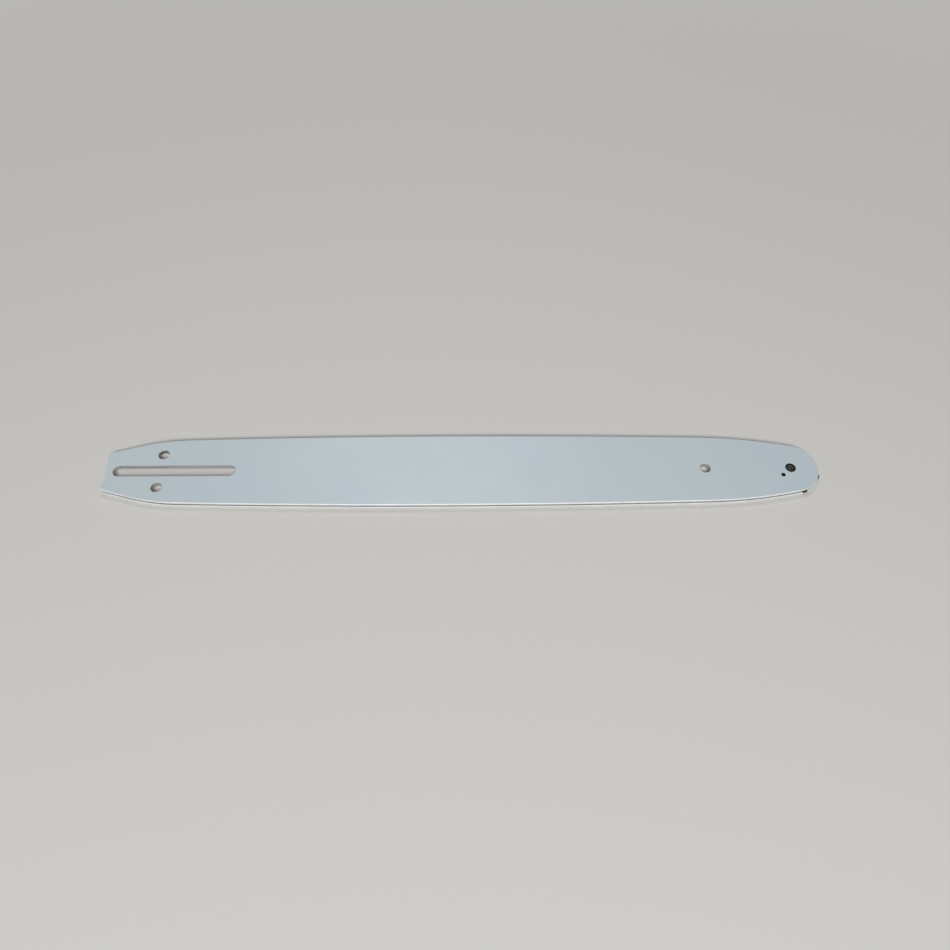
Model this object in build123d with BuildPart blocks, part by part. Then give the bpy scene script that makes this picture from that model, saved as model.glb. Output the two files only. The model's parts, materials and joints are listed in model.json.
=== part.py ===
from build123d import *
from math import acos, asin, cos, degrees, radians, sin, tan
import os

# Laminated chainsaw guide bar with a sprocket nose, lying flat on its lower side plate.
# X runs from the tail to the nose tip, Y across the bar, Z up through its thickness.
# The origin is the middle of the bar's underside. All sizes are in millimetres.

# Lamination
plate_thickness = 1.55
core_thickness = 1.4  # also the width of the chain groove
groove_depth = 8.0
edge_break = 0.25  # chamfer round the outer faces of the side plates

# Outline of the side plates
bar_length = 460.0
half_width = 26.5  # at the crest of the belly
belly_fore_radius = 7100.0
belly_aft_radius = 6000.0
belly_fore_run = 167.0  # from the crest to the start of the nose flank
belly_aft_run = 170.0  # from the crest to the start of the tail shoulder
flank_radius = 310.0
nose_radius = 17.7
shoulder_radius = 122.0
taper_angle = 16.2  # slope of the tail's straight edges
corner_radius = 3.5
tail_hollow = 1.25  # depth of the shallow curve in the tail's end

# Openings, placed by their distance from the tail
slot_start = 5.4
slot_end = 83.8
slot_width = 8.3
adjuster_from_tail = 35.6
adjuster_offset = 12.6  # from the bar's axis, to either side
adjuster_radius = 3.6
hang_hole_from_tail = 386.6
hang_hole_radius = 3.5

# Nose rivet and grease hole
rivet_head_radius = 3.45
rivet_shank_radius = 2.7
rivet_dish_radius = 2.4  # the hollow that setting the rivet leaves in its end
rivet_dish_depth = 0.12
rivet_recess = 0.05  # the rivet's ends stand this far below the plates' faces
rivet_clearance = 0.02
grease_hole_radius = 1.4
grease_hole_reach = 8.0  # from the rivet's axis
grease_hole_angle = -137.0

# Nose sprocket
tooth_count = 7
tooth_reach = 1.1  # the teeth stand this far out of the nose's edge
tooth_angle = -18.8  # direction of the first tooth, from the bar's axis
tooth_corner_radius = 0.8
gullet_root_radius = 11.0
gullet_radius = 3.0  # at the bottom of each gullet
gullet_flank_angle = 40.0  # from the gullet's axis, which leaves the teeth tapered
sprocket_thickness = 1.2
pocket_gap = 0.8  # between the teeth and the core plate

# Nose bearing
roller_count = 20
roller_radius = 1.2
roller_length = 1.25
roller_edge_break = 0.1
race_radius = 6.6
race_edge_break = 0.15
bearing_clearance = 0.04  # on each side of a roller

# Worked out from the sizes above
bar_thickness = 2 * plate_thickness + core_thickness
mid_height = bar_thickness / 2
tail_x = -bar_length / 2
nose_x = bar_length / 2 - nose_radius
sprocket_radius = nose_radius + tooth_reach
roller_orbit_radius = race_radius + bearing_clearance + roller_radius
sprocket_bore_radius = roller_orbit_radius + roller_radius + bearing_clearance

# Directions where one arc of the outline runs into the next, from the bar's axis
flank_start = degrees(asin(belly_fore_run / belly_fore_radius))
shoulder_start = degrees(asin(belly_aft_run / belly_aft_radius))
flank_start_y = half_width - belly_fore_radius * (1 - cos(radians(flank_start)))
flank_centre_y = flank_start_y - flank_radius * cos(radians(flank_start))
nose_start = degrees(acos(-flank_centre_y / (flank_radius - nose_radius)))

# The crest stands where the fore arcs bring the nose tip to the full length
flank_run = flank_radius * (sin(radians(nose_start)) - sin(radians(flank_start)))
nose_run = nose_radius * (1 - sin(radians(nose_start)))
crest_x = bar_length / 2 - belly_fore_run - flank_run - nose_run

# The tail's corner rounds touch the end of the bar and the straight edges
shoulder_turn = sin(radians(taper_angle)) - sin(radians(shoulder_start))
shoulder_drop = shoulder_radius * (cos(radians(shoulder_start)) - cos(radians(taper_angle)))
taper_start_x = crest_x - belly_aft_run - shoulder_radius * shoulder_turn
taper_start_y = half_width - belly_aft_radius * (1 - cos(radians(shoulder_start))) - shoulder_drop
corner_x = tail_x + corner_radius
corner_rise = corner_radius / cos(radians(taper_angle))
corner_y = taper_start_y - (taper_start_x - corner_x) * tan(radians(taper_angle)) - corner_rise
taper_end_x = corner_x - corner_radius * sin(radians(taper_angle))
taper_length = (taper_start_x - taper_end_x) / cos(radians(taper_angle))

# The hollow in the tail's end is an arc that touches both corner rounds
corner_span = (tail_hollow**2 + corner_y**2) / (2 * tail_hollow)
tail_radius = corner_span - corner_radius
tail_swing = degrees(asin(corner_y / corner_span))

os.makedirs("parts", exist_ok=True)


def draw_rail(inset, straight_length):
    """Draw the bar's upper edge, inset from the outer one, and return its straight tail end."""
    crest = (crest_x, half_width - inset)
    fore = JernArc(crest, (1, 0), belly_fore_radius - inset, -flank_start)
    flank = JernArc(fore @ 1, fore % 1, flank_radius - inset, flank_start - nose_start)
    JernArc(flank @ 1, flank % 1, nose_radius - inset, nose_start - 90)
    aft = JernArc(crest, (-1, 0), belly_aft_radius - inset, shoulder_start)
    shoulder = JernArc(aft @ 1, aft % 1, shoulder_radius - inset, taper_angle - shoulder_start)
    return PolarLine(shoulder @ 1, straight_length, 180 + taper_angle)


def cut_openings():
    """Cut what passes through all three plates: stud slot, adjuster holes and hanging hole."""
    slot_length = slot_end - slot_start
    with Locations((tail_x + (slot_start + slot_end) / 2, 0)):
        SlotOverall(slot_length, slot_width, mode=Mode.SUBTRACT)
    adjuster_x = tail_x + adjuster_from_tail
    with Locations((adjuster_x, adjuster_offset), (adjuster_x, -adjuster_offset)):
        Circle(adjuster_radius, mode=Mode.SUBTRACT)
    with Locations((tail_x + hang_hole_from_tail, 0)):
        Circle(hang_hole_radius, mode=Mode.SUBTRACT)


# Outline that both side plates share
with BuildSketch() as bar_outline:
    with BuildLine():
        taper = draw_rail(0, taper_length)
        corner = JernArc(taper @ 1, taper % 1, corner_radius, 90 + tail_swing - taper_angle)
        JernArc(corner @ 1, corner % 1, tail_radius, -tail_swing)
        mirror(about=Plane.XZ)
    make_face()

# Upper side plate, with its rivet seat countersunk from the outer face
with BuildPart() as side_plate_top:
    with BuildSketch(Plane.XY.offset(bar_thickness - plate_thickness)):
        add(bar_outline.sketch)
        cut_openings()
        with Locations((nose_x, 0)):
            with PolarLocations(grease_hole_reach, 1, grease_hole_angle):
                Circle(grease_hole_radius, mode=Mode.SUBTRACT)
    extrude(amount=plate_thickness)
    outer_face = side_plate_top.faces().sort_by(Axis.Z)[-1]
    chamfer(outer_face.outer_wire().edges(), edge_break)
    with Locations((nose_x, 0, bar_thickness)):
        CounterSinkHole(rivet_shank_radius + rivet_clearance, rivet_head_radius, counter_sink_angle=90)
side_plate_top.part.label = "side_plate_top"
export_step(side_plate_top.part, "parts/side_plate_top.step")

# Lower side plate: the same stamping, turned over about the bar's axis
with BuildPart() as side_plate_bottom:
    with Locations((0, 0, bar_thickness)):
        add(side_plate_top.part, rotation=(180, 0, 0))
side_plate_bottom.part.label = "side_plate_bottom"
export_step(side_plate_bottom.part, "parts/side_plate_bottom.step")

# Core plate: its inset edges are the bottom of the chain groove, which runs out at the tail.
# The adjuster holes break into the groove, so that they also feed it with oil.
with BuildPart() as core_plate:
    with BuildSketch(Plane.XY.offset(plate_thickness)):
        with BuildLine():
            core_taper = draw_rail(groove_depth, taper_length + groove_depth)
            Line(core_taper @ 1, ((core_taper @ 1).X, 0))
            mirror(about=Plane.XZ)
        make_face()
        add(bar_outline.sketch, mode=Mode.INTERSECT)
        cut_openings()
        with Locations((nose_x, 0)):
            Circle(sprocket_radius + pocket_gap, mode=Mode.SUBTRACT)
    extrude(amount=core_thickness)
core_plate.part.label = "core_plate"
export_step(core_plate.part, "parts/core_plate.step")

# One gullet of the nose sprocket, drawn on the X axis: a round bottom with straight flanks
# that run out past the tips of the teeth
with BuildSketch() as gullet:
    with BuildLine():
        bottom_centre = (gullet_root_radius + gullet_radius, 0)
        bottom = CenterArc(bottom_centre, gullet_radius, 180, gullet_flank_angle - 90)
        flank = PolarLine(bottom @ 1, sprocket_radius, gullet_flank_angle)
        Line(flank @ 1, ((flank @ 1).X, 0))
        mirror(about=Plane.XZ)
    make_face()

# Nose sprocket: a thin star wheel that carries the chain's drive links round the nose
with BuildPart() as nose_sprocket:
    with BuildSketch(Plane((nose_x, 0, mid_height - sprocket_thickness / 2))) as star:
        Circle(sprocket_radius)
        with PolarLocations(0, tooth_count, tooth_angle + 180 / tooth_count):
            add(gullet.sketch, mode=Mode.SUBTRACT)
        fillet(star.vertices().group_by(SortBy.DISTANCE)[-1], tooth_corner_radius)
        Circle(sprocket_bore_radius, mode=Mode.SUBTRACT)
    extrude(amount=sprocket_thickness)
nose_sprocket.part.label = "nose_sprocket"
export_step(nose_sprocket.part, "parts/nose_sprocket.step")

# Inner race: clamped between the side plates, it keeps the groove open for the sprocket
with BuildPart() as bearing_inner_race:
    with BuildSketch(Plane((nose_x, 0, plate_thickness))):
        Circle(race_radius)
        Circle(rivet_shank_radius + rivet_clearance, mode=Mode.SUBTRACT)
    extrude(amount=core_thickness)
    race_rims = bearing_inner_race.edges().filter_by(GeomType.CIRCLE).sort_by(SortBy.RADIUS)[-2:]
    chamfer(race_rims, race_edge_break)
bearing_inner_race.part.label = "bearing_inner_race"
export_step(bearing_inner_race.part, "parts/bearing_inner_race.step")

# Rollers: a full complement without a cage, between the race and the sprocket's bore
for number in range(1, roller_count + 1):
    swing = radians(360 * (number - 1) / roller_count)
    roller_x = nose_x + roller_orbit_radius * cos(swing)
    roller_y = roller_orbit_radius * sin(swing)
    with BuildPart() as bearing_roller:
        with BuildSketch(Plane((roller_x, roller_y, mid_height - roller_length / 2))):
            Circle(roller_radius)
        extrude(amount=roller_length)
        chamfer(bearing_roller.edges().filter_by(GeomType.CIRCLE), roller_edge_break)
    bearing_roller.part.label = f"bearing_roller_{number:02d}"
    export_step(bearing_roller.part, f"parts/bearing_roller_{number:02d}.step")

# Nose rivet: a shank through plates and race, with heads set into the countersinks
head_rim_radius = rivet_head_radius - rivet_clearance - rivet_recess
head_top = bar_thickness - rivet_recess
head_base = head_top - (head_rim_radius - rivet_shank_radius)
dish_floor = head_top - rivet_dish_depth
with BuildPart() as nose_rivet:
    with BuildSketch(Plane((nose_x, 0, 0), x_dir=(1, 0, 0), z_dir=(0, -1, 0))):
        with BuildLine():
            Polyline(
                (0, mid_height),
                (rivet_shank_radius, mid_height),
                (rivet_shank_radius, head_base),
                (head_rim_radius, head_top),
                (rivet_dish_radius, head_top),
                (rivet_dish_radius - rivet_dish_depth, dish_floor),
                (0, dish_floor),
                close=True,
            )
        make_face()
    revolve(axis=Axis((nose_x, 0, 0), (0, 0, 1)))
    mirror(about=Plane.XY.offset(mid_height))
nose_rivet.part.label = "nose_rivet"
export_step(nose_rivet.part, "parts/nose_rivet.step")
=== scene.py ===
import json
from math import acos, asin, ceil, cos, degrees, pi, radians, sin, sqrt

import bmesh
import bpy
from mathutils import Matrix, Vector, noise
from mathutils.geometry import intersect_line_sphere_2d, intersect_sphere_sphere_2d


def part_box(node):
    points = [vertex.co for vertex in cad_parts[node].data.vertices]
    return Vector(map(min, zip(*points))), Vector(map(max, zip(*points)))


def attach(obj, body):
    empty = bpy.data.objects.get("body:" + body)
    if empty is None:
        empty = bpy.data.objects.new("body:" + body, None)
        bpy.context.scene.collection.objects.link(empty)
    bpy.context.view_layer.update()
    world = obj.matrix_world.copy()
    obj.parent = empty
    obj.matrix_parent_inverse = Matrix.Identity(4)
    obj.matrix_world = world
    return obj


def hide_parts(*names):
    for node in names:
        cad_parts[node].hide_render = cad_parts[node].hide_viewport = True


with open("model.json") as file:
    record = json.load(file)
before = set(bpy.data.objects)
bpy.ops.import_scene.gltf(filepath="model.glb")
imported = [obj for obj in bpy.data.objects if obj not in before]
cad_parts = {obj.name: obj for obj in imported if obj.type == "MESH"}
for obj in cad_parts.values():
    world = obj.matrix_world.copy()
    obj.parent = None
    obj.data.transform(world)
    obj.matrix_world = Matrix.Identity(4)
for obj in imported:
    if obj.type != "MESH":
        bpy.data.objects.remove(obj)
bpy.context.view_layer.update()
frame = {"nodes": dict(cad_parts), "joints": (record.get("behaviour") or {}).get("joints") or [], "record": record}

# shapes are drawn in millimetres and brought to the frame's metres as each mesh is made
unit = 0.001
curveError = 0.001  # how far a straight step may stand off its curve
sameSpot = 0.01  # outline points nearer than this are one point
weldGap = 0.0001  # the nodes weld points nearer than this
sharpAngle = radians(35)

mounts = {mount["name"]: mount for mount in frame["record"]["mounts"]}
noseX = frame["joints"][0]["pos_m"][0] / unit
plateLow, plateHigh = (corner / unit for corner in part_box("side_plate_top"))
coreLow, coreHigh = (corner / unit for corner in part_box("core_plate"))
plateThickness = plateHigh.z - plateLow.z
coreThickness = coreHigh.z - coreLow.z
halfWidth = plateHigh.y
tailX = plateLow.x
midHeight = plateHigh.z / 2


# Nodes

class Wire:
    # a node's output that can be used in sums
    def __init__(self, tree, socket):
        self.tree = tree
        self.socket = socket

    def join(self, operation, first, second):
        return self.tree.add("ShaderNodeMath", {"operation": operation}, {0: first, 1: second})

    def __add__(self, other):
        return self.join("ADD", self, other)

    def __radd__(self, other):
        return self.join("ADD", other, self)

    def __sub__(self, other):
        return self.join("SUBTRACT", self, other)

    def __rsub__(self, other):
        return self.join("SUBTRACT", other, self)

    def __mul__(self, other):
        return self.join("MULTIPLY", self, other)

    def __rmul__(self, other):
        return self.join("MULTIPLY", other, self)

    def __truediv__(self, other):
        return self.join("DIVIDE", self, other)

    def __rtruediv__(self, other):
        return self.join("DIVIDE", other, self)


class Tree:
    def __init__(self, nodeTree):
        self.nodeTree = nodeTree

    def plug(self, socket, value):
        if isinstance(value, Wire):
            self.nodeTree.links.new(value.socket, socket)
        else:
            socket.default_value = value

    def add(self, kind, settings=None, sockets=None, output=0):
        node = self.nodeTree.nodes.new(kind)
        for key, value in (settings or {}).items():
            setattr(node, key, value)
        for key, value in (sockets or {}).items():
            self.plug(node.inputs[key], value)
        return Wire(self, node.outputs[output])

    def blend(self, amount, first, second):
        return self.add("ShaderNodeMix", {"data_type": "RGBA"}, {0: amount, 6: first, 7: second}, 2)


class Finish(Tree):
    # a material: what is the same all over goes straight on the shader's sockets
    def __init__(self, name, fixed):
        self.material = bpy.data.materials.new(name)
        self.material.use_nodes = True
        super().__init__(self.material.node_tree)
        self.shader = self.nodeTree.nodes["Principled BSDF"]
        self.place = self.add("ShaderNodeTexCoord", output="Object")
        self.feed(fixed)

    def feed(self, sockets):
        for key, value in sockets.items():
            self.plug(self.shader.inputs[key], value)

    def noise(self, perMetre, detail=2.0, roughness=0.5, stretch=None, warp=0.0):
        where = self.place
        if stretch:
            where = self.add("ShaderNodeMapping", None, {"Vector": where, "Scale": stretch})
        return self.add("ShaderNodeTexNoise", None, {
            "Vector": where,
            "Scale": perMetre,
            "Detail": detail,
            "Roughness": roughness,
            "Distortion": warp,
        })

    def attribute(self, name):
        return self.add("ShaderNodeAttribute", {"attribute_name": name}, output="Fac")

    def ease(self, value, low, high):
        return self.add("ShaderNodeMapRange", {"interpolation_type": "SMOOTHSTEP"}, {
            "Value": value, "From Min": low, "From Max": high})

    def bump(self, height, strength, depth):
        return self.add("ShaderNodeBump", None, {"Height": height, "Strength": strength, "Distance": depth})


def colour(red, green, blue):
    return (red, green, blue, 1.0)


def growMesh(name, sizes, material, build, start=None):
    # sizes: input name -> (socket type, value)
    # build gets the tree and its inputs, and returns the geometry
    group = bpy.data.node_groups.new(name + "Nodes", "GeometryNodeTree")
    face = group.interface
    face.new_socket("Geometry", in_out="INPUT", socket_type="NodeSocketGeometry")
    identifiers = {}
    for label, (kind, _) in sizes.items():
        identifiers[label] = face.new_socket(label, in_out="INPUT", socket_type=kind).identifier
    face.new_socket("Geometry", in_out="OUTPUT", socket_type="NodeSocketGeometry")
    tree = Tree(group)
    entry = group.nodes.new("NodeGroupInput")
    given = {socket.name: Wire(tree, socket) for socket in entry.outputs if socket.name}
    shape = tree.add("GeometryNodeRealizeInstances", None, {0: build(tree, given)})
    shape = tree.add("GeometryNodeMergeByDistance", None, {"Geometry": shape, "Distance": weldGap})
    shape = tree.add("GeometryNodeSetMaterial", None, {"Geometry": shape, "Material": material})
    tree.plug(group.nodes.new("NodeGroupOutput").inputs[0], shape)

    seed = bpy.data.objects.new(name + "Seed", start or bpy.data.meshes.new(name + "Seed"))
    bpy.context.scene.collection.objects.link(seed)
    modifier = seed.modifiers.new("grow", "NODES")
    modifier.node_group = group
    for label, (_, value) in sizes.items():
        modifier[identifiers[label]] = value
    depsgraph = bpy.context.evaluated_depsgraph_get()
    mesh = bpy.data.meshes.new_from_object(seed.evaluated_get(depsgraph), depsgraph=depsgraph)
    seed.modifiers.remove(modifier)
    bpy.data.objects.remove(seed)
    return mesh


def setPiece(name, mesh, body, replaced, material=None):
    mesh.name = name
    if material:
        mesh.materials.clear()
        mesh.materials.append(material)
    mesh.transform(Matrix.Scale(unit, 4))
    shape = bmesh.new()
    shape.from_mesh(mesh)
    bmesh.ops.recalc_face_normals(shape, faces=shape.faces)
    for face in shape.faces:
        face.smooth = True
    for edge in shape.edges:
        edge.smooth = edge.is_manifold and edge.calc_face_angle() < sharpAngle
    loose = sum(not edge.is_manifold for edge in shape.edges)
    shape.to_mesh(mesh)
    shape.free()
    piece = bpy.data.objects.new(name, mesh)
    bpy.context.scene.collection.objects.link(piece)
    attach(piece, body)
    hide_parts(*replaced)
    print(name, "faces", len(mesh.polygons), "open edges", loose)


# Outlines: lists of (point, normal away from the metal)

def compass(angle):
    return Vector((cos(radians(angle)), sin(radians(angle))))


def arc(centre, radius, fromAngle, toAngle, facing=1):
    # facing -1 is a hollow edge, whose normals point at the centre
    span = radians(abs(toAngle - fromAngle))
    steps = max(2, ceil(span / (2 * sqrt(2 * curveError / radius))))
    points = []
    for step in range(steps + 1):
        way = compass(fromAngle + (toAngle - fromAngle) * step / steps)
        points.append((Vector(centre) + way * radius, way * facing))
    return points


def chain(*runs):
    # joins runs end to end, leaving out the points that meet
    points = list(runs[0])
    for run in runs[1:]:
        points += run[1:] if (run[0][0] - points[-1][0]).length < sameSpot else run
    return points


def mirrored(points):
    flip = Vector((1, -1))
    return [(point * flip, normal * flip) for point, normal in reversed(points)]


def closed(half):
    # the second half is the first one mirrored in the bar's axis
    return half + mirrored(half)[1:-1]


def roundHole(centre, radius):
    return arc(centre, radius, 0, 360, -1)[:-1]


def longHole(centre, length, radius):
    reach = Vector((length / 2 - radius, 0))
    return arc(centre + reach, radius, -90, 90, -1) + arc(centre - reach, radius, 90, 270, -1)


def mountHole(name):
    mount = mounts[name]
    return roundHole(Vector(mount["pos_m"][:2]) / unit, mount["dims"]["r_mm"])


def heading(point, centre):
    return degrees((point - centre).angle_signed(Vector((1, 0))))


def bite(points, name):
    # takes a round hole out of the run of points that it cuts into
    centre = Vector(mounts[name]["pos_m"][:2]) / unit
    radius = mounts[name]["dims"]["r_mm"]
    lost = [here for here, (point, _) in enumerate(points) if (point - centre).length < radius]
    first, last = lost[0] - 1, lost[-1] + 1
    ways = []
    for outside, inside in ((first, lost[0]), (last, lost[-1])):
        hits = intersect_line_sphere_2d(points[outside][0], points[inside][0], centre, radius)
        ways.append(heading(next(hit for hit in hits if hit), centre))
    start, end = ways
    end -= 360 if end > start else 0
    return points[:first + 1] + arc(centre, radius, start, end, -1) + points[last:]


# Bar outline

bar = {
    "bellyForeRadius": 7100,
    "bellyAftRadius": 6000,
    "bellyForeRun": 167,  # from the crest of the belly to the nose flank
    "bellyAftRun": 170,  # from the crest to the tail shoulder
    "flankRadius": 310,
    "noseRadius": 17.7,
    "shoulderRadius": 122,
    "taperAngle": 16.2,
    "cornerRadius": 3.5,
    "tailHollow": 1.25,
    "grooveDepth": 8,
    "pocketRadius": 19.6,  # room for the star wheel in the core
}


def traceArcs():
    # the upper half, from the nose tip to the middle of the tail, as (centre, radius, from, to)
    foreGap = bar["bellyForeRadius"] - bar["flankRadius"]
    flankGap = bar["flankRadius"] - bar["noseRadius"]
    flankStart = degrees(asin(bar["bellyForeRun"] / bar["bellyForeRadius"]))
    shoulderStart = degrees(asin(bar["bellyAftRun"] / bar["bellyAftRadius"]))
    flankY = halfWidth - bar["bellyForeRadius"] + foreGap * cos(radians(flankStart))
    noseStart = degrees(acos(-flankY / flankGap))
    flankCentre = Vector((noseX - flankGap * sin(radians(noseStart)), flankY))
    crestX = flankCentre.x - foreGap * sin(radians(flankStart))
    foreCentre = Vector((crestX, halfWidth - bar["bellyForeRadius"]))
    aftCentre = Vector((crestX, halfWidth - bar["bellyAftRadius"]))
    shoulderGap = bar["bellyAftRadius"] - bar["shoulderRadius"]
    shoulderCentre = aftCentre + compass(90 + shoulderStart) * shoulderGap

    # the corner round touches the tail's end and the straight taper
    taperNormal = compass(90 + bar["taperAngle"])
    cornerGap = bar["shoulderRadius"] - bar["cornerRadius"]
    cornerX = tailX + bar["cornerRadius"]
    cornerRise = cornerGap - (cornerX - shoulderCentre.x) * taperNormal.x
    cornerCentre = Vector((cornerX, shoulderCentre.y + cornerRise / taperNormal.y))

    # the hollow of the tail touches both corner rounds
    span = (bar["tailHollow"] ** 2 + cornerCentre.y ** 2) / (2 * bar["tailHollow"])
    tailSwing = degrees(asin(cornerCentre.y / span))
    hollowCentre = Vector((cornerX - span + bar["tailHollow"], 0))
    return {
        "nose": (Vector((noseX, 0)), bar["noseRadius"], 0, 90 - noseStart),
        "flank": (flankCentre, bar["flankRadius"], 90 - noseStart, 90 - flankStart),
        "fore": (foreCentre, bar["bellyForeRadius"], 90 - flankStart, 90),
        "aft": (aftCentre, bar["bellyAftRadius"], 90, 90 + shoulderStart),
        "shoulder": (shoulderCentre, bar["shoulderRadius"], 90 + shoulderStart, 90 + bar["taperAngle"]),
        "corner": (cornerCentre, bar["cornerRadius"], 90 + bar["taperAngle"], 180 + tailSwing),
        "hollow": (hollowCentre, span - bar["cornerRadius"], tailSwing, 0, -1),
    }


barArcs = traceArcs()
barLoop = closed(chain(*(arc(*run) for run in barArcs.values())))


def insetArc(name):
    centre, radius, fromAngle, toAngle = barArcs[name]
    return centre, radius - bar["grooveDepth"], fromAngle, toAngle


def traceCore():
    # the rails inset by the groove, from the star wheel's pocket to the tail's end
    noseCentre = Vector((noseX, 0))
    flankCentre, flankRadius, _, flankEnd = insetArc("flank")
    crossings = intersect_sphere_sphere_2d(noseCentre, bar["pocketRadius"], flankCentre, flankRadius)
    mouth = max(crossings, key=lambda point: point.y)
    shoulder = arc(*insetArc("shoulder"))
    taperStart, taperNormal = shoulder[-1]
    hollowCentre, hollowRadius = barArcs["hollow"][:2]
    along = Vector((-taperNormal.y, taperNormal.x))
    ends = intersect_line_sphere_2d(taperStart, taperStart + along, hollowCentre, hollowRadius, False)
    heel = max((end for end in ends if end), key=lambda point: point.x)
    half = chain(
        arc(noseCentre, bar["pocketRadius"], 180, heading(mouth, noseCentre), -1),
        arc(flankCentre, flankRadius, heading(mouth, flankCentre), flankEnd),
        arc(*insetArc("fore")),
        arc(*insetArc("aft")),
        bite(shoulder, "adjuster_hole_far"),
        arc(hollowCentre, hollowRadius, heading(heel, hollowCentre), 0, -1),
    )
    return closed(half)


def stamp(name, edges):
    # edges: (loop, profile) pairs; a profile runs from the inner face to the outer one
    # as (depth into the metal, height, how well paint covers it, how freshly it was cut)
    shape = bmesh.new()
    coat = shape.verts.layers.float.new("coat")
    cut = shape.verts.layers.float.new("cut")
    innerBorders, outerBorders = [], []
    for loop, profile in edges:
        rings = []
        for depth, height, cover, bright in profile:
            ring = [shape.verts.new((*(point - normal * depth), height)) for point, normal in loop]
            for vert in ring:
                vert[coat] = cover
                vert[cut] = bright
            rings.append(ring)
        for lower, upper in zip(rings, rings[1:]):
            for here in range(len(loop)):
                shape.faces.new((lower[here - 1], lower[here], upper[here], upper[here - 1]))
        for ring, borders in ((rings[0], innerBorders), (rings[-1], outerBorders)):
            borders.extend(shape.edges.get((ring[here - 1], ring[here])) for here in range(len(loop)))
    for borders, facing in ((innerBorders, -1), (outerBorders, 1)):
        bmesh.ops.triangle_fill(shape, use_beauty=True, edges=borders, normal=(0, 0, facing))
    mesh = bpy.data.meshes.new(name)
    shape.to_mesh(mesh)
    shape.free()
    return mesh


# Side plates

sidePlate = {
    "edgeRound": 0.25,
    "holeRound": 0.12,
    "innerBreak": 0.06,  # the sharp inner edges are just taken off
    "roundSteps": 6,
    "faceMargin": 0.3,  # flat strip that keeps the rounds' shading off the face
    "backMargin": 1,  # the same on the inner face, round a hole
    "mist": ((3.0, 0.0), (1.5, 0.3), (0.5, 0.55)),  # depth in the groove, how well paint covers it there
    "rimMist": 0.62,
    "holeMist": ((0.0, 0.1), (0.6, 0.3)),  # share of the thickness, how well paint covers the wall there
    "holeCut": 0.55,  # 0 is dark scale, 1 is ground steel
    "greaseHoleCut": 0.0,
    "railWear": 4,  # a higher power leaves more bare steel on a round
    "holeWear": 1,
    "rivetSeat": 3.45,
    "rivetHole": 2.72,
}


def roundOver(radius, height, bright, wear):
    # a quarter round from the bare wall to the painted outer face
    profile = []
    for step in range(sidePlate["roundSteps"] + 1):
        turn = pi / 2 * step / sidePlate["roundSteps"]
        depth = radius * (1 - cos(turn))
        profile.append((depth, height - radius * (1 - sin(turn)), sin(turn) ** wear, bright))
    profile.append((radius + sidePlate["faceMargin"], height, 1.0, 0.0))
    return profile


def outerEdge(height):
    # the wall is a ground rail for the chain, and paint mist thins out into the groove
    nick = sidePlate["innerBreak"]
    inside = [(depth, 0, cover, 0.0) for depth, cover in sidePlate["mist"]]
    rim = [(nick, 0, sidePlate["rimMist"], 0.0), (0, nick, 0.0, 1.0)]
    return inside + rim + roundOver(sidePlate["edgeRound"], height, 1.0, sidePlate["railWear"])


def holeEdge(height, bright):
    nick = sidePlate["innerBreak"]
    inside = [(nick + sidePlate["backMargin"], 0, 0.0, 0.0), (nick, 0, 0.0, 0.0)]
    wall = [(0, max(nick, height * share), cover, bright) for share, cover in sidePlate["holeMist"]]
    return inside + wall + roundOver(sidePlate["holeRound"], height, bright, sidePlate["holeWear"])


def rivetSeat(height):
    # a countersink for the rivet's head
    nick = sidePlate["innerBreak"]
    sink = sidePlate["rivetSeat"] - sidePlate["rivetHole"]
    return [
        (sidePlate["backMargin"], 0, 0.0, 0.0),
        (0, 0, 0.0, 0.0),
        (0, height - sink, 0.0, 0.0),
        (sink - nick, height - nick, 0.3, 0.5),
        (sink + nick / 2, height, 0.8, 0.8),
        (sink + nick + sidePlate["faceMargin"], height, 1.0, 0.0),
    ]


def stampPlate():
    height = plateThickness
    slot = mounts["stud_slot"]
    slotCentre = Vector(slot["pos_m"][:2]) / unit
    slotLoop = longHole(slotCentre, slot["dims"]["slot_length_mm"], slot["dims"]["hole_r_mm"])
    through = [slotLoop, mountHole("hanging_hole")]
    holes = through + [mountHole("adjuster_hole_near"), mountHole("adjuster_hole_far")]
    edges = [(barLoop, outerEdge(height))]
    edges += [(loop, holeEdge(height, sidePlate["holeCut"])) for loop in holes]
    edges.append((mountHole("grease_hole_top"), holeEdge(height, sidePlate["greaseHoleCut"])))
    edges.append((roundHole(Vector((noseX, 0)), sidePlate["rivetHole"]), rivetSeat(height)))
    mesh = stamp("plate", edges)
    mesh.transform(Matrix.Translation((0, 0, plateLow.z)))
    return mesh, through


paint = {
    "mid": colour(0.418, 0.485, 0.518),
    "cool": colour(0.397, 0.467, 0.512),
    "warm": colour(0.432, 0.488, 0.504),
    "fleck": colour(0.51, 0.56, 0.585),
    "scale": colour(0.05, 0.05, 0.046),  # unpainted faces inside the groove
    "cutDull": colour(0.77, 0.78, 0.775),
    "cutBright": colour(0.97, 0.975, 0.97),
    "bareMetallic": 0.5,
    "roughness": 0.35,
    "driftPerMetre": 11,  # slow change of tone over the bar
    "speckPerMetre": 2400,
    "speckAmount": 0.14,
    "gritPerMetre": 900,  # ragged edge of the paint
    "linesPerMetre": 2600,  # grinding lines along the rails
    "linesStretch": (0.03, 0.03, 1.0),
    "smudgePerMetre": 34,
    "smudgeAmount": 0.11,
    "peelPerMetre": 560,  # orange peel, with a finer one on it
    "finePeelPerMetre": 2100,
    "peelDepth": 0.00003,
}


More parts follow.
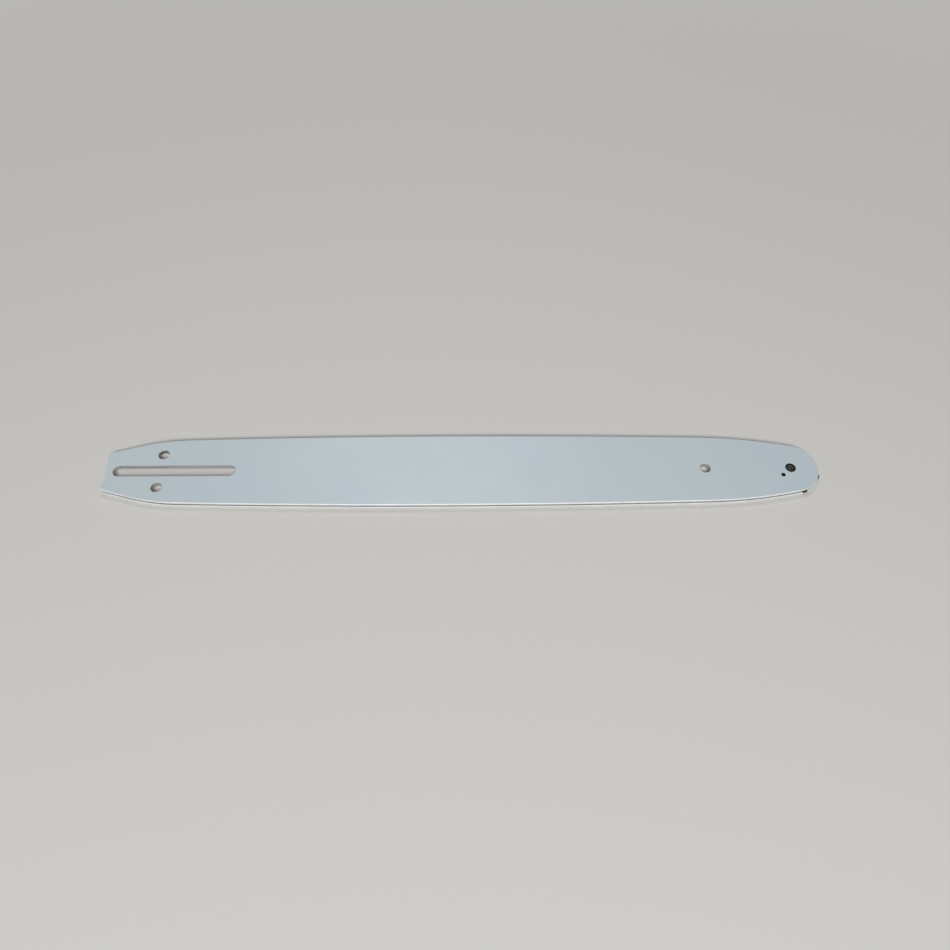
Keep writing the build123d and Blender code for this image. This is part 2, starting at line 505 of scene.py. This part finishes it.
def mixPaint():
    finish = Finish("satinGreyPaint", {"Specular IOR Level": 0.5})
    drift = finish.ease(finish.noise(paint["driftPerMetre"], 2, 0.45), 0.3, 0.7)
    tone = finish.blend(drift, paint["cool"], paint["warm"])
    tone = finish.blend(0.5, tone, paint["mid"])
    speck = finish.ease(finish.noise(paint["speckPerMetre"], 2, 0.6), 0.25, 0.75)
    tone = finish.blend(speck * paint["speckAmount"], tone, paint["fleck"])

    # bare metal is bright where rails and holes were cut, and dark with scale inside the groove
    grit = finish.noise(paint["gritPerMetre"], 4, 0.65)
    lines = finish.noise(paint["linesPerMetre"], 3, 0.65, paint["linesStretch"])
    bright = finish.blend(finish.ease(lines, 0.3, 0.7), paint["cutDull"], paint["cutBright"])
    bare = finish.blend(finish.attribute("cut"), paint["scale"], bright)
    cover = finish.ease(finish.attribute("coat") + (grit - 0.5) * 0.4, 0.22, 0.74)
    smudge = finish.noise(paint["smudgePerMetre"], 5, 0.6, None, 0.8) * paint["smudgeAmount"]
    finePeel = finish.noise(paint["finePeelPerMetre"], 1, 0.5)
    peel = finish.noise(paint["peelPerMetre"], 2, 0.5) + finePeel * 0.25
    finish.feed({
        "Base Color": finish.blend(cover, bare, tone),
        "Metallic": (1 - cover) * paint["bareMetallic"],
        "Roughness": paint["roughness"] + smudge + (1 - cover) * (lines - 0.35) * 0.5,
        "Normal": finish.bump(peel, 0.8, paint["peelDepth"]),
    })
    return finish.material


# Core plate

coreSteel = {
    "edgeBreak": 0.03,
    "dark": colour(0.27, 0.27, 0.255),
    "light": colour(0.46, 0.46, 0.44),
    "stain": colour(0.11, 0.095, 0.075),
    "stainPerMetre": 70,
    "grainPerMetre": 260,
    "grainStretch": (0.12, 1.0, 3.0),  # long along the bar
    "grainDepth": 0.00002,
}


def rollSteel():
    finish = Finish("rolledSteel", {"Metallic": 0.4})
    grain = finish.noise(coreSteel["grainPerMetre"], 4, 0.6, coreSteel["grainStretch"])
    stain = finish.ease(finish.noise(coreSteel["stainPerMetre"], 4, 0.6), 0.35, 0.75)
    tone = finish.blend(grain, coreSteel["dark"], coreSteel["light"])
    finish.feed({
        "Base Color": finish.blend(stain * 0.5, tone, coreSteel["stain"]),
        "Roughness": 0.4 + grain * 0.18 + stain * 0.1,
        "Normal": finish.bump(grain, 0.3, coreSteel["grainDepth"]),
    })
    return finish.material


def stampCore(through):
    height = coreThickness
    nick = coreSteel["edgeBreak"]
    profile = [(nick, 0, 0, 0), (0, nick, 0, 0), (0, height - nick, 0, 0), (nick, height, 0, 0)]
    mesh = stamp("core", [(loop, profile) for loop in [traceCore(), *through]])
    mesh.transform(Matrix.Translation((0, 0, coreLow.z)))
    return mesh


# Star wheel

starWheel = {
    "toothCount": 7,
    "firstTooth": -18.8,  # degrees from the bar's axis
    "tipRadius": 18.8,
    "tipCorner": 0.8,
    "rootRadius": 11.0,
    "gulletRadius": 3.0,
    "flankAngle": 40.0,
    "boreRadius": 9.08,
    "thickness": 1.2,
    "edgeBreak": 0.12,
    "black": colour(0.008, 0.008, 0.008),
    "dullBlack": colour(0.03, 0.029, 0.027),
    "oilFilm": colour(0.030, 0.022, 0.014),
    "rubbed": colour(0.16, 0.155, 0.15),
    "grainPerMetre": 1300,
    "grainDepth": 0.00003,
    "filmPerMetre": 160,
}


def halfGullet():
    # from the bottom of a gullet on the X axis to the middle of the next tooth
    flank = starWheel["flankAngle"]
    bottomCentre = Vector((starWheel["rootRadius"] + starWheel["gulletRadius"], 0))
    bottom = arc(bottomCentre, starWheel["gulletRadius"], 180, 90 + flank, -1)
    foot, flankNormal = bottom[-1]
    corner = starWheel["tipCorner"]
    lineStart = foot - flankNormal * corner
    reach = starWheel["tipRadius"] - corner
    ends = intersect_line_sphere_2d(lineStart, lineStart + compass(flank), Vector((0, 0)), reach, False)
    cornerCentre = max((end for end in ends if end), key=lambda point: point.x)
    cornerAngle = heading(cornerCentre, Vector((0, 0)))
    tip = arc((0, 0), starWheel["tipRadius"], cornerAngle, 180 / starWheel["toothCount"])
    return chain(bottom, arc(cornerCentre, corner, flank - 90, cornerAngle), tip)


def gulletSector():
    # one gullet with half a tooth on each side; the nodes below turn it round the wheel
    half = halfGullet()
    outline = mirrored(half) + half[1:]
    bore = starWheel["boreRadius"]
    nick = starWheel["edgeBreak"]
    low, high = -starWheel["thickness"] / 2, starWheel["thickness"] / 2
    # once round the section: on the bore or not, depth into the metal, height, how rubbed
    section = (
        (True, 0, low + nick, 0.5),
        (True, nick, low, 0.3),
        (False, nick, low, 0.3),
        (False, 0, low + nick, 1.0),
        (False, 0, high - nick, 1.0),
        (False, nick, high, 0.3),
        (True, nick, high, 0.3),
        (True, 0, high - nick, 0.5),
    )
    shape = bmesh.new()
    rim = shape.verts.layers.float.new("rim")
    rings = []
    for onBore, depth, height, worn in section:
        ring = []
        for point, normal in outline:
            spot = point.normalized() * (bore + depth) if onBore else point - normal * depth
            vert = shape.verts.new((*spot, height))
            vert[rim] = worn
            ring.append(vert)
        rings.append(ring)
    for inner, outer in zip(rings, rings[1:] + rings[:1]):
        for here in range(1, len(outline)):
            shape.faces.new((inner[here - 1], inner[here], outer[here], outer[here - 1]))
    mesh = bpy.data.meshes.new("gulletSector")
    shape.to_mesh(mesh)
    shape.free()
    return mesh


def turnGullets(tree, given):
    spots = tree.add("GeometryNodeMeshLine", None, {"Count": given["Tooth count"], "Offset": (0, 0, 0)})
    index = tree.add("GeometryNodeInputIndex")
    turn = given["First gullet"] + index * (2 * pi) / given["Tooth count"]
    rotation = tree.add("ShaderNodeCombineXYZ", None, {"Z": turn})
    sectors = tree.add("GeometryNodeInstanceOnPoints", None, {
        "Points": spots, "Instance": given["Geometry"], "Rotation": rotation})
    return tree.add("GeometryNodeTransform", None, {"Geometry": sectors, "Translation": given["Centre"]})


def blacken():
    finish = Finish("blackenedSteel", {"Specular IOR Level": 0.4})
    grain = finish.noise(starWheel["grainPerMetre"], 4, 0.65)
    film = finish.ease(finish.noise(starWheel["filmPerMetre"], 3, 0.6), 0.35, 0.7)
    tone = finish.blend(grain, starWheel["black"], starWheel["dullBlack"])
    tone = finish.blend(film * 0.5, tone, starWheel["oilFilm"])
    worn = finish.ease(finish.attribute("rim") + (grain - 0.5) * 0.9, 0.95, 1.25)
    finish.feed({
        "Base Color": finish.blend(worn * 0.35, tone, starWheel["rubbed"]),
        "Metallic": worn * 0.7,
        "Roughness": 0.42 + grain * 0.25 - film * 0.12,
        "Normal": finish.bump(grain, 0.4, starWheel["grainDepth"]),
    })
    return finish.material


# Rollers and race

bearing = {
    "rollerCount": 20,
    "rollerRadius": 1.2,
    "rollerLength": 1.25,
    "rollerBreak": 0.1,
    "orbitRadius": 7.84,
    "sides": 40,
    "raceRadius": 6.6,
    "raceBreak": 0.15,
    "raceRound": 0.3,  # 0.5 makes the break flat, and less makes it rounder
    "raceSteps": 128,
    "steel": colour(0.09, 0.09, 0.087),
    "grease": colour(0.008, 0.007, 0.005),
    "greasePerMetre": 420,
    "linesPerMetre": 300,
    "linesStretch": (1.0, 1.0, 20.0),  # grinding lines run round the axis
    "linesDepth": 0.00001,
}


def ringRollers(tree, given):
    radius, length, nick = given["Roller radius"], given["Roller length"], given["Edge break"]
    end = radius - nick
    barrel = tree.add("GeometryNodeMeshCylinder", {"fill_type": "NONE"}, {
        "Vertices": given["Sides"], "Radius": radius, "Depth": length - nick * 2})
    caps = []
    for facing in (-1, 1):
        below, above = (end, radius) if facing < 0 else (radius, end)
        cone = tree.add("GeometryNodeMeshCone", {"fill_type": "NONE"}, {
            "Vertices": given["Sides"], "Radius Bottom": below, "Radius Top": above, "Depth": nick})
        base = length * 0.5 - nick if facing > 0 else length * -0.5
        lift = tree.add("ShaderNodeCombineXYZ", None, {"Z": base})
        caps.append(tree.add("GeometryNodeTransform", None, {"Geometry": cone, "Translation": lift}))
        disc = tree.add("GeometryNodeMeshCircle", {"fill_type": "NGON"}, {
            "Vertices": given["Sides"], "Radius": end})
        lift = tree.add("ShaderNodeCombineXYZ", None, {"Z": length * 0.5 * facing})
        caps.append(tree.add("GeometryNodeTransform", None, {"Geometry": disc, "Translation": lift}))
    roller = tree.add("GeometryNodeJoinGeometry", None, {0: barrel})
    for cap in caps:
        tree.plug(roller.socket.node.inputs[0], cap)
    spots = tree.add("GeometryNodeMeshCircle", {"fill_type": "NONE"}, {
        "Vertices": given["Roller count"], "Radius": given["Orbit radius"]})
    ring = tree.add("GeometryNodeInstanceOnPoints", None, {"Points": spots, "Instance": roller})
    return tree.add("GeometryNodeTransform", None, {"Geometry": ring, "Translation": given["Centre"]})


def greasedSteel():
    finish = Finish("greasedSteel", {"Metallic": 0.5, "Specular IOR Level": 0.2})
    grease = finish.ease(finish.noise(bearing["greasePerMetre"], 3, 0.6), 0.2, 0.55)
    lines = finish.noise(bearing["linesPerMetre"], 2, 0.5, bearing["linesStretch"])
    finish.feed({
        "Base Color": finish.blend(grease * 0.9, bearing["steel"], bearing["grease"]),
        "Roughness": 0.3 + lines * 0.12 + grease * 0.15,
        "Normal": finish.bump(lines, 0.2, bearing["linesDepth"]),
    })
    return finish.material


def turnOnAxis(name, profile, steps, ringed):
    # spins a profile of (radius, height) about the nose axis; a ringed one closes on itself
    shape = bmesh.new()
    rings = []
    for radius, height in profile:
        if radius == 0:
            rings.append([shape.verts.new((noseX, 0, height))] * steps)
            continue
        around = (compass(360 * step / steps) * radius for step in range(steps))
        rings.append([shape.verts.new((noseX + spot.x, spot.y, height)) for spot in around])
    pairs = zip(rings, rings[1:] + rings[:1]) if ringed else zip(rings, rings[1:])
    for first, second in pairs:
        for here in range(steps):
            corners = (first[here - 1], first[here], second[here], second[here - 1])
            shape.faces.new(list(dict.fromkeys(corners)))
    mesh = bpy.data.meshes.new(name)
    shape.to_mesh(mesh)
    shape.free()
    return mesh


def turnRace():
    nick = bearing["raceBreak"]
    bulge = nick * bearing["raceRound"]
    low, high = coreLow.z, coreHigh.z
    hole, outside = sidePlate["rivetHole"], bearing["raceRadius"]
    lower = [(hole, low), (outside - nick, low), (outside - bulge, low + bulge), (outside, low + nick)]
    upper = [(outside, high - nick), (outside - bulge, high - bulge), (outside - nick, high), (hole, high)]
    return turnOnAxis("race", lower + upper, bearing["raceSteps"], True)


# Nose rivet

rivet = {
    "headRadius": 3.38,
    "shankRadius": 2.7,
    "dishRadius": 2.4,
    "dishDepth": 0.12,
    "recess": 0.05,
    "hammerDepth": 0.045,
    "hammerScale": 1.7,  # of the noise, to a millimetre
    "hammerReach": 0.5,  # how far below a face the marks may lie
    "hammerShift": 3.0,  # makes the two ends differ
    "rimBreak": 0.06,
    "dishRings": 14,
    "steps": 96,
    # near black: the head's black oxide, with painted shade of the gap round the head
    "rim": colour(0.004, 0.004, 0.004),
    "dark": colour(0.010, 0.010, 0.009),
    "rubbed": colour(0.070, 0.069, 0.065),
    "gritPerMetre": 1500,
    "marksPerMetre": 800,
    "marksDepth": 0.00006,
}


def turnRivet():
    top = plateHigh.z - rivet["recess"]
    floor = top - rivet["dishDepth"]
    head, shank, dish = rivet["headRadius"], rivet["shankRadius"], rivet["dishRadius"]
    nick = rivet["rimBreak"]
    bed = dish - rivet["dishDepth"]
    rings = rivet["dishRings"]
    half = [(bed * step / rings, floor) for step in range(rings + 1)]
    half += [(dish, top - nick / 2), (dish + nick, top)]
    half += [(head - nick, top), (head - nick / 4, top - nick / 4), (head, top - nick)]
    half += [(shank, top - nick - (head - shank)), (shank, midHeight)]
    below = [(radius, 2 * midHeight - height) for radius, height in reversed(half[:-1])]
    mesh = turnOnAxis("rivet", half + below, rivet["steps"], False)

    # the riveting hammer left its marks in both dished ends
    for vert in mesh.vertices:
        out = (vert.co.xy - Vector((noseX, 0))).length
        side = 1 if vert.co.z > midHeight else -1
        if out < dish and abs(vert.co.z - midHeight) > midHeight - rivet["hammerReach"]:
            spot = Vector((vert.co.x, vert.co.y, side * rivet["hammerShift"]))
            vert.co.z += side * noise.noise(spot * rivet["hammerScale"]) * rivet["hammerDepth"]
    return mesh


def blackRivet():
    finish = Finish("blackRivet", {"Specular IOR Level": 0.15})
    centred = finish.add("ShaderNodeVectorMath", {"operation": "MULTIPLY_ADD"}, {
        0: finish.place, 1: (1, 1, 0), 2: (-noseX * unit, 0, 0)})
    out = finish.add("ShaderNodeVectorMath", {"operation": "LENGTH"}, {0: centred}, "Value")
    grit = finish.noise(rivet["gritPerMetre"], 4, 0.7)
    marks = finish.noise(rivet["marksPerMetre"], 3, 0.6)
    edge = rivet["dishRadius"] * unit
    # outside the dish the head takes the rim colour: black oxide with painted shade of the gap round the head
    bare = 1 - finish.ease(out + (marks - 0.5) * 0.0009, edge * 0.82, edge * 1.02)
    worn = finish.ease(marks + (grit - 0.5) * 0.3, 0.3, 0.68)
    tone = finish.blend(worn, rivet["dark"], rivet["rubbed"])
    finish.feed({
        "Base Color": finish.blend(bare, rivet["rim"], tone),
        "Metallic": bare * 0.2,
        "Roughness": 0.55 + grit * 0.25,
        "Normal": finish.bump(marks + grit * 0.4, 0.6, rivet["marksDepth"]),
    })
    return finish.material


# Build

plateMesh, throughHoles = stampPlate()
paintFinish = mixPaint()
setPiece("topPlate", plateMesh.copy(), "bar", ["side_plate_top"], paintFinish)
turnedOver = Matrix.Translation((0, 0, 2 * midHeight)) @ Matrix.Rotation(pi, 4, "X")
plateMesh.transform(turnedOver)
setPiece("bottomPlate", plateMesh, "bar", ["side_plate_bottom"], paintFinish)
setPiece("corePlate", stampCore(throughHoles), "bar", ["core_plate"], rollSteel())

noseAxis = (noseX, 0.0, midHeight)
wheelSizes = {
    "Tooth count": ("NodeSocketInt", starWheel["toothCount"]),
    "First gullet": ("NodeSocketFloat", radians(starWheel["firstTooth"] + 180 / starWheel["toothCount"])),
    "Centre": ("NodeSocketVector", noseAxis),
}
wheelMesh = growMesh("starWheel", wheelSizes, blacken(), turnGullets, gulletSector())
setPiece("starWheel", wheelMesh, "sprocket", ["nose_sprocket"])

bearingFinish = greasedSteel()
rollerSizes = {
    "Roller count": ("NodeSocketInt", bearing["rollerCount"]),
    "Roller radius": ("NodeSocketFloat", bearing["rollerRadius"]),
    "Roller length": ("NodeSocketFloat", bearing["rollerLength"]),
    "Edge break": ("NodeSocketFloat", bearing["rollerBreak"]),
    "Orbit radius": ("NodeSocketFloat", bearing["orbitRadius"]),
    "Sides": ("NodeSocketInt", bearing["sides"]),
    "Centre": ("NodeSocketVector", noseAxis),
}
rollerNodes = [name for name in frame["nodes"] if name.startswith("bearing_roller")]
rollerMesh = growMesh("rollerRing", rollerSizes, bearingFinish, ringRollers)
setPiece("rollerRing", rollerMesh, "roller_set", rollerNodes)
setPiece("innerRace", turnRace(), "bar", ["bearing_inner_race"], bearingFinish)
setPiece("noseRivet", turnRivet(), "bar", ["nose_rivet"], blackRivet())
print("pieces built")


# Stage

studio = {
    "floorColour": colour(0.55, 0.537, 0.515),
    "floorReach": 6.0,
    "floorGap": 0.00002,
    "mottlePerMetre": 180,
    "mottleShade": 0.985,
    "fadeStart": 0.3,  # from here to the fade's end the floor turns into the backdrop
    "fadeEnd": 1.3,
    "skyColour": colour(0.205, 0.211, 0.220),
    "keyPlace": (-0.02, -1.60, 1.54),
    "keySize": (0.8, 0.6),
    "keyPower": 43.0,
    "fillPlace": (-0.1, 1.3, 1.9),  # its soft sheen lies on the middle of the face
    "fillSize": (0.8, 0.7),
    "fillPower": 13.0,
}


def seenRays(tree):
    # what the camera, gloss and glass see, as against what lights the object
    kinds = ("Is Camera Ray", "Is Glossy Ray", "Is Transmission Ray")
    camera, glossy, through = (tree.add("ShaderNodeLightPath", output=kind) for kind in kinds)
    return camera + glossy + through


def layFloor():
    reach = studio["floorReach"]
    mesh = bpy.data.meshes.new("floor")
    corners = [(-reach, -reach), (reach, -reach), (reach, reach), (-reach, reach)]
    mesh.from_pydata([(x, y, -studio["floorGap"]) for x, y in corners], [], [(0, 1, 2, 3)])
    finish = Finish("paleFloor", {"Specular IOR Level": 0.2})
    mottle = finish.noise(studio["mottlePerMetre"], 3, 0.5)
    tone = studio["floorColour"]
    shade = colour(*(part * studio["mottleShade"] for part in tone[:3]))
    finish.feed({
        "Base Color": finish.blend(mottle, tone, shade),
        "Roughness": 0.7 + mottle * 0.1,
    })
    away = finish.add("ShaderNodeVectorMath", {"operation": "LENGTH"}, {0: finish.place}, "Value")
    fade = finish.ease(away, studio["fadeStart"], studio["fadeEnd"])
    glow = finish.add("ShaderNodeEmission", None, {"Color": tone})
    surface = finish.add("ShaderNodeMixShader", None, {
        0: fade * seenRays(finish), 1: Wire(finish, finish.shader.outputs[0]), 2: glow})
    finish.plug(finish.nodeTree.nodes["Material Output"].inputs["Surface"], surface)
    mesh.materials.append(finish.material)
    floor = bpy.data.objects.new("floor", mesh)
    bpy.context.scene.collection.objects.link(floor)


def hangLamp(name, place, size, power):
    lamp = bpy.data.lights.new(name, "AREA")
    lamp.shape = "RECTANGLE"
    lamp.size, lamp.size_y = size
    lamp.energy = power
    holder = bpy.data.objects.new(name, lamp)
    holder.location = place
    holder.rotation_euler = (-Vector(place)).to_track_quat("-Z", "Y").to_euler()
    bpy.context.scene.collection.objects.link(holder)


def lightWorld():
    world = bpy.data.worlds.new("studio")
    bpy.context.scene.world = world
    world.use_nodes = True
    tree = Tree(world.node_tree)
    backdrop = tree.blend(seenRays(tree), studio["skyColour"], studio["floorColour"])
    tree.plug(world.node_tree.nodes["Background"].inputs["Color"], backdrop)


layFloor()
hangLamp("keyLamp", studio["keyPlace"], studio["keySize"], studio["keyPower"])
hangLamp("fillLamp", studio["fillPlace"], studio["fillSize"], studio["fillPower"])
lightWorld()
bpy.context.scene.view_settings.view_transform = "Standard"


# Camera

view = {
    "place": (-0.00063, -0.29443, 0.43761),
    "turn": -1.652,  # degrees about the vertical
    "pitch": 56.230,  # degrees below the horizon
    "roll": 1.072,
    "focalPixels": 812.2,
    "imagePixels": 950,
    "centreOffset": 0.5,  # pixels, the photo's optical centre against the frame's
    "nearClip": 0.01,
}


def setCamera():
    camera = bpy.data.objects.new("camera", bpy.data.cameras.new("camera"))
    bpy.context.scene.collection.objects.link(camera)
    lens = camera.data
    lens.lens = lens.sensor_width * view["focalPixels"] / view["imagePixels"]
    lens.shift_x = -view["centreOffset"] / view["imagePixels"]
    lens.shift_y = view["centreOffset"] / view["imagePixels"]
    lens.clip_start = view["nearClip"]
    camera.matrix_world = (
        Matrix.Translation(view["place"])
        @ Matrix.Rotation(radians(view["turn"]), 4, "Z")
        @ Matrix.Rotation(radians(90 - view["pitch"]), 4, "X")
        @ Matrix.Rotation(radians(view["roll"]), 4, "Z")
    )
    bpy.context.scene.camera = camera


setCamera()
print("stage and camera set")
